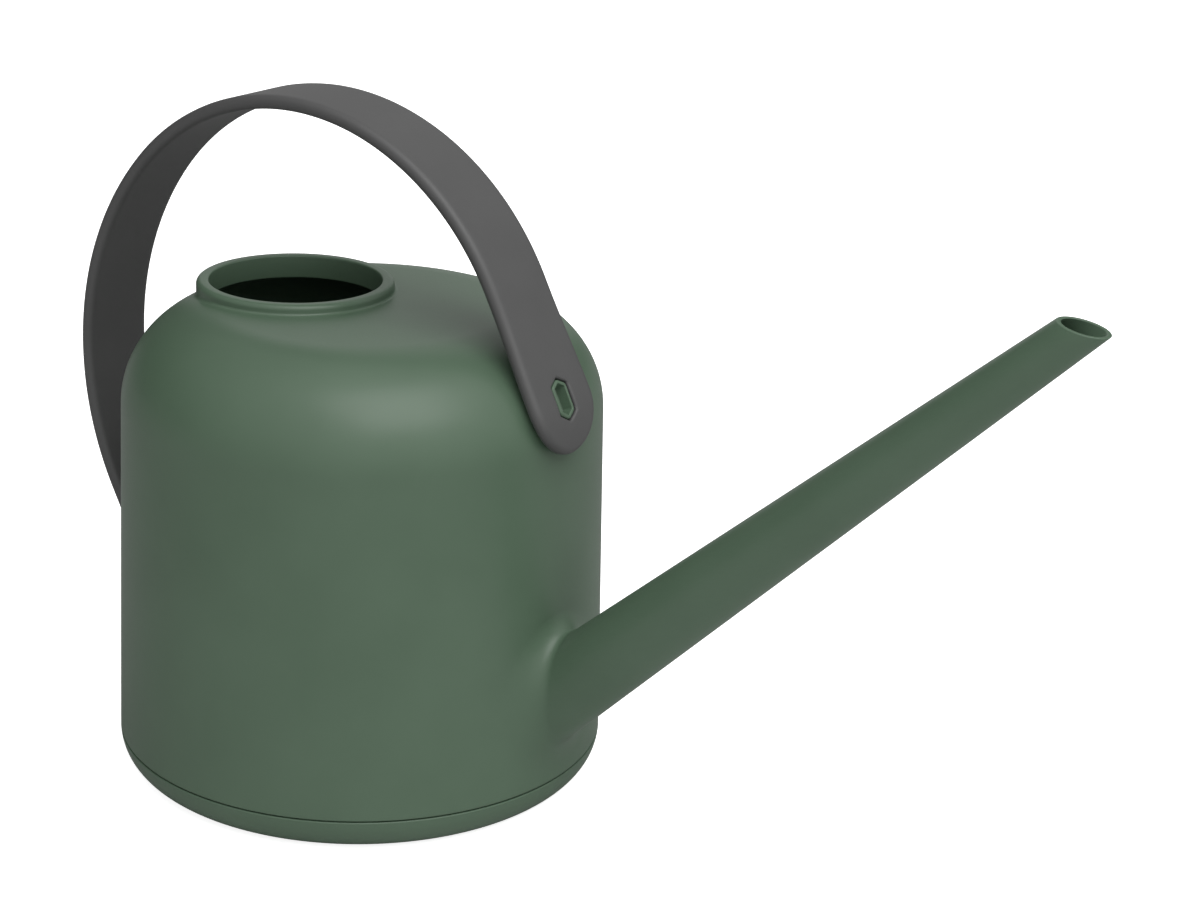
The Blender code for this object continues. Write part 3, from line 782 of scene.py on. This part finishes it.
front_peg = make_peg("front_peg", STRAP_END)
rear_peg = make_peg("rear_peg", STRAP_LENGTH - STRAP_END)
for peg in (front_peg, rear_peg):
    peg.data.set_sharp_from_angle(angle=radians(50))

# %% [markdown]
# ## Plastics
#
# Both plastics get their look from nodes, with patterns in the piece's own coordinates, so
# that they stay in place on it. Colours are given as they look on a screen and turned into
# the linear values that a shader needs.

# %% Helpers for materials
def linear(hex_colour):
    """sRGB hex to linear: divide by 12.92 near black, a 2.4 power curve above."""
    parts = [int(hex_colour[i:i + 2], 16) / 255 for i in (0, 2, 4)]
    return (*[p / 12.92 if p <= 0.04045 else ((p + 0.055) / 1.055) ** 2.4 for p in parts], 1.0)


def add_node(tree, kind, values=None, links=None, **settings):
    """Adds a node, sets its properties, and sets or links its inputs by name or number."""
    node = tree.nodes.new(kind)
    for name, value in settings.items():
        setattr(node, name, value)
    for name, value in (values or {}).items():
        node.inputs[name].default_value = value
    for name, socket in (links or {}).items():
        tree.links.new(socket, node.inputs[name])
    return node


def new_material(name):
    """An empty material with its Principled shader: returns both, and its coordinates."""
    material = bpy.data.materials.new(name)
    material.use_nodes = True
    tree = material.node_tree
    tree.nodes.clear()
    shader = add_node(tree, "ShaderNodeBsdfPrincipled")
    output = add_node(tree, "ShaderNodeOutputMaterial")
    tree.links.new(shader.outputs["BSDF"], output.inputs["Surface"])
    place = add_node(tree, "ShaderNodeTexCoord").outputs["Object"]
    return material, tree, shader, place


# %% [markdown]
# ### Moulded polypropylene
#
# The tank is polypropylene, coloured right through and moulded against a finely blasted
# tool. That gives it a satin skin: highlights are broad and soft, with a faint grain where
# they fade. The pigment drifts a little over the surface. The grain of such a tool is about
# a tenth of a millimetre, finer than a picture of the whole can shows, so it is drawn at
# 0.45 mm.

# %% Green moulded polypropylene
def moulded_polypropylene():
    material, tree, shader, place = new_material("green_moulded_polypropylene")
    drift = add_node(tree, "ShaderNodeTexNoise", {"Scale": 28.0, "Detail": 3.0, "Roughness": 0.5},
                     {"Vector": place})
    tint = add_node(tree, "ShaderNodeValToRGB", links={"Fac": drift.outputs["Fac"]})
    tint.color_ramp.elements[0].position, tint.color_ramp.elements[1].position = 0.3, 0.7
    tint.color_ramp.elements[0].color = linear("475a49")
    tint.color_ramp.elements[1].color = linear("4b5e4d")
    grain = add_node(tree, "ShaderNodeTexNoise", {"Scale": 1 / (0.45 * MM), "Detail": 2.0},
                     {"Vector": place})
    waves = add_node(tree, "ShaderNodeTexNoise", {"Scale": 1 / (14 * MM), "Detail": 1.0},
                     {"Vector": place})
    polish = add_node(tree, "ShaderNodeMapRange", {"To Min": 0.33, "To Max": 0.41},
                      {"Value": grain.outputs["Fac"]})
    relief = add_node(tree, "ShaderNodeMath", {1: 0.3}, {0: waves.outputs["Fac"]}, operation="MULTIPLY")
    height = add_node(tree, "ShaderNodeMath", links={0: grain.outputs["Fac"], 1: relief.outputs[0]},
                      operation="ADD")
    bump = add_node(tree, "ShaderNodeBump", {"Strength": 0.35, "Distance": 0.03 * MM},
                    {"Height": height.outputs[0]})
    tree.links.new(tint.outputs["Color"], shader.inputs["Base Color"])
    tree.links.new(polish.outputs[0], shader.inputs["Roughness"])
    tree.links.new(bump.outputs["Normal"], shader.inputs["Normal"])
    shader.inputs["IOR"].default_value = 1.49
    shader.inputs["Specular IOR Level"].default_value = 0.35
    return material


green_plastic = moulded_polypropylene()

# %% [markdown]
# ### Soft strap plastic
#
# The strap is a soft, rubbery plastic, dark grey and almost matt. Light spreads over it
# evenly, with only a weak broad shine along its rounded edges. Its skin shows a fine,
# even leathery grain, drawn here at 0.6 mm.

# %% Grey soft plastic
def soft_plastic():
    material, tree, shader, place = new_material("grey_soft_thermoplastic_rubber")
    drift = add_node(tree, "ShaderNodeTexNoise", {"Scale": 45.0, "Detail": 3.0}, {"Vector": place})
    tint = add_node(tree, "ShaderNodeValToRGB", links={"Fac": drift.outputs["Fac"]})
    tint.color_ramp.elements[0].position, tint.color_ramp.elements[1].position = 0.3, 0.7
    tint.color_ramp.elements[0].color = linear("414141")
    tint.color_ramp.elements[1].color = linear("454545")
    pores = add_node(tree, "ShaderNodeTexVoronoi", {"Scale": 1 / (0.6 * MM)}, {"Vector": place})
    polish = add_node(tree, "ShaderNodeMapRange", {"To Min": 0.50, "To Max": 0.60},
                      {"Value": drift.outputs["Fac"]})
    bump = add_node(tree, "ShaderNodeBump", {"Strength": 0.25, "Distance": 0.04 * MM},
                    {"Height": pores.outputs["Distance"]})
    tree.links.new(tint.outputs["Color"], shader.inputs["Base Color"])
    tree.links.new(polish.outputs[0], shader.inputs["Roughness"])
    tree.links.new(bump.outputs["Normal"], shader.inputs["Normal"])
    shader.inputs["IOR"].default_value = 1.5
    return material


grey_plastic = soft_plastic()

# %% Give each piece its plastic and its body
for piece, material, slot in [
    (tank, green_plastic, "tank"), (front_peg, green_plastic, "tank"),
    (rear_peg, green_plastic, "tank"), (cap, green_plastic, "base_cap"),
    (strap, grey_plastic, "strap_handle"),
]:
    piece.data.materials.append(material)
    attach(piece, "root")
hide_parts("tank")
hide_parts("base_cap")
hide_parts("strap_handle")

# %% [markdown]
# ## The studio
#
# The can stands on a wide pale sheet in a white room, as in a shop's catalogue. Most of
# the light is the room itself: brighter above and on the spout's side, darker behind the
# tank, which models the round wall. A large soft box from the upper front right adds the
# broad highlight on the shoulder, and a larger, fainter one lights the can from behind.

# %% Floor
floor_points = np.array([(-6, -6, 0), (6, -6, 0), (6, 6, 0), (-6, 6, 0)], float)
floor_mesh = bpy.data.meshes.new("floor_sheet")
floor_mesh.from_pydata(floor_points.tolist(), [], [(0, 1, 2, 3)])
floor = bpy.data.objects.new("floor_sheet", floor_mesh)
bpy.context.scene.collection.objects.link(floor)
paper = bpy.data.materials.new("pale_paper")
paper.use_nodes = True
sheet = paper.node_tree
sheet.nodes.clear()
direct_view = add_node(sheet, "ShaderNodeLightPath").outputs["Is Camera Ray"]
mirrored = add_node(sheet, "ShaderNodeLightPath").outputs["Is Glossy Ray"]
bounce = add_node(sheet, "ShaderNodeMix", {"A": linear("e8e8e8"), "B": linear("9a9a9a")},
                  {"Factor": mirrored}, data_type="RGBA")
dull = add_node(sheet, "ShaderNodeBsdfDiffuse", links={"Color": bounce.outputs["Result"]})
white = add_node(sheet, "ShaderNodeEmission", {"Color": (1, 1, 1, 1), "Strength": 0.82})
lit = add_node(sheet, "ShaderNodeAddShader", links={0: dull.outputs[0], 1: white.outputs[0]})
chosen = add_node(sheet, "ShaderNodeMixShader",
                  links={0: direct_view, 1: dull.outputs[0], 2: lit.outputs[0]})
add_node(sheet, "ShaderNodeOutputMaterial", links={"Surface": chosen.outputs[0]})
floor_mesh.materials.append(paper)

# %% Room light
world = bpy.data.worlds.new("white_studio")
bpy.context.scene.world = world
world.use_nodes = True
room = world.node_tree
room.nodes.clear()
direction = add_node(room, "ShaderNodeTexCoord").outputs["Generated"]
bright_way = unit(np.array([0.64, -0.32, 0.82]))
facing_light = add_node(room, "ShaderNodeVectorMath", {1: bright_way.tolist()}, {0: direction},
                        operation="DOT_PRODUCT")
level = add_node(room, "ShaderNodeMapRange",
                 {"From Min": -0.30, "From Max": 1.0, "To Min": 0.02, "To Max": 1.12},
                 {"Value": facing_light.outputs["Value"]}, interpolation_type="SMOOTHSTEP")
room_light = add_node(room, "ShaderNodeBackground", {"Color": (1, 1, 1, 1)}, {"Strength": level.outputs[0]})
backdrop = add_node(room, "ShaderNodeBackground", {"Color": (1, 1, 1, 1), "Strength": 1.0})
seen = add_node(room, "ShaderNodeLightPath").outputs["Is Camera Ray"]
mixed = add_node(room, "ShaderNodeMixShader",
                 links={0: seen, 1: room_light.outputs[0], 2: backdrop.outputs[0]})
add_node(room, "ShaderNodeOutputWorld", links={"Surface": mixed.outputs[0]})


# %% Soft boxes
def soft_box(name, place, aim, size, power):
    """A square area light at a place in metres, turned to face a point."""
    light = bpy.data.lights.new(name, "AREA")
    light.shape, light.size, light.energy = "SQUARE", size, power
    lamp = bpy.data.objects.new(name, light)
    bpy.context.scene.collection.objects.link(lamp)
    back = unit(np.array(place) - np.array(aim))
    right = unit(np.cross([0, 0, 1], back))
    turned = np.eye(4)
    turned[:3, :3] = np.stack([right, np.cross(back, right), back], -1)
    turned[:3, 3] = place
    lamp.matrix_world = Matrix(turned.tolist())
    return lamp


soft_box("key_box", (0.60, -0.32, 1.15), (0.0, 0, 0.08), 1.0, 10.5)
soft_box("back_panel", (-0.70, 1.00, 0.62), (0.0, 0, 0.12), 1.1, 2.0)

# %% [markdown]
# ## The camera
#
# A long lens from the front right, a little above the can, tilted down and turned by a
# couple of degrees, as a hand-held or cropped catalogue picture is.

# %% Camera
FOCAL = 2.2414            # focal length as a share of the picture's width
PLACE = (0.45779, -0.57726, 0.35679)
azimuth, pitch, roll = radians(33.216), radians(19.526), radians(2.188)
ahead = np.array([-sin(azimuth) * cos(pitch), cos(azimuth) * cos(pitch), -sin(pitch)])
level_right = np.array([cos(azimuth), sin(azimuth), 0.0])
level_up = np.cross(level_right, ahead)
right = cos(roll) * level_right + sin(roll) * level_up
up = -sin(roll) * level_right + cos(roll) * level_up
camera_data = bpy.data.cameras.new("camera")
camera_data.sensor_width = 36.0
camera_data.lens = 36.0 * FOCAL
camera_data.clip_start, camera_data.clip_end = 0.05, 50.0
camera = bpy.data.objects.new("camera", camera_data)
bpy.context.scene.collection.objects.link(camera)
turned = np.eye(4)
turned[:3, :3] = np.stack([right, up, -ahead], -1)
turned[:3, 3] = PLACE
camera.matrix_world = Matrix(turned.tolist())
bpy.context.scene.camera = camera
bpy.context.scene.view_settings.view_transform = "Standard"
